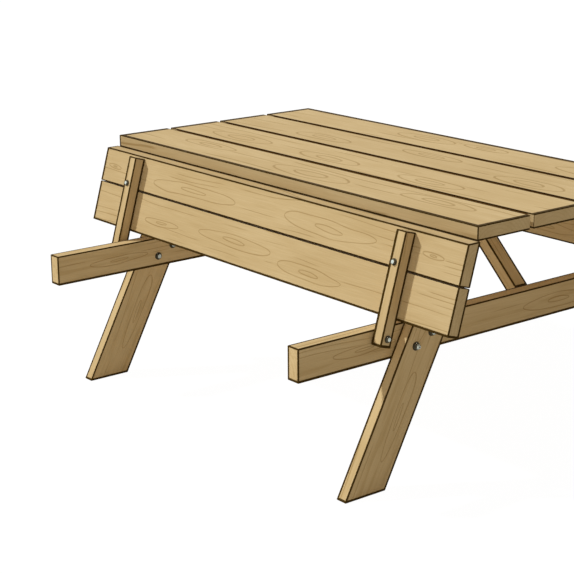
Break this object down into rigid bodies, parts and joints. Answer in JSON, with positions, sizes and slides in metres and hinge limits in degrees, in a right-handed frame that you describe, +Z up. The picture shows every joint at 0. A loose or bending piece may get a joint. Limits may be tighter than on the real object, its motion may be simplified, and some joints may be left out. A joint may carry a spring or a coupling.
{
  "type": "picnic table with fold-up benches",
  "caption": "Wooden picnic table with a plank top on splayed bolted leg frames, and a bench along each long side that hinges on the seat beams and folds up against the table's edge.",
  "frame": {"origin": "on the ground, under the middle of the table top", "axes": "+X along the table's length, +Y across it towards the far bench, +Z up"},
  "size_m": [1.72, 1.6562, 0.756],
  "materials": {
    "top_wood": "planed softwood, clear oil",
    "bench_wood": "planed softwood, clear oil",
    "frame_wood": "planed softwood, clear oil",
    "zinc_steel": "dull zinc plate"
  },
  "bodies": {
    "table": {"brace_left": "frame_wood", "brace_right": "frame_wood", "brace_screws": "zinc_steel", "end_cleat_screws": "zinc_steel", "frame_bolts": "zinc_steel", "frame_nuts": "zinc_steel", "frame_washers": "zinc_steel", "leg_left_far": "frame_wood", "leg_left_near": "frame_wood", "leg_right_far": "frame_wood", "leg_right_near": "frame_wood", "middle_cleat_screws": "zinc_steel", "pivot_screws": "zinc_steel", "pivot_washers": "zinc_steel", "seat_beam_left": "frame_wood", "seat_beam_right": "frame_wood", "top_cleat_left": "frame_wood", "top_cleat_middle": "frame_wood", "top_cleat_right": "frame_wood", "top_plank_1": "top_wood", "top_plank_2": "top_wood", "top_plank_3": "top_wood", "top_plank_4": "top_wood"},
    "near_bench": {"near_bench_cleat_left": "bench_wood", "near_bench_cleat_right": "bench_wood", "near_bench_coach_screws": "zinc_steel", "near_bench_plank_inner": "bench_wood", "near_bench_plank_outer": "bench_wood", "near_bench_seat_screws": "zinc_steel", "near_bench_washers": "zinc_steel"},
    "far_bench": {"far_bench_cleat_left": "bench_wood", "far_bench_cleat_right": "bench_wood", "far_bench_coach_screws": "zinc_steel", "far_bench_plank_inner": "bench_wood", "far_bench_plank_outer": "bench_wood", "far_bench_seat_screws": "zinc_steel", "far_bench_washers": "zinc_steel"}
  },
  "joints": [
    {"name": "near_bench_fold", "type": "hinge", "parent": "table", "child": "near_bench", "pos_m": [0, -0.55608, 0.43597], "axis": [1, 0, 0], "range_deg": [0, 106.2]},
    {"name": "far_bench_fold", "type": "hinge", "parent": "table", "child": "far_bench", "pos_m": [0, 0.55608, 0.43597], "axis": [-1, 0, 0], "range_deg": [0, 106.2]}
  ]
}
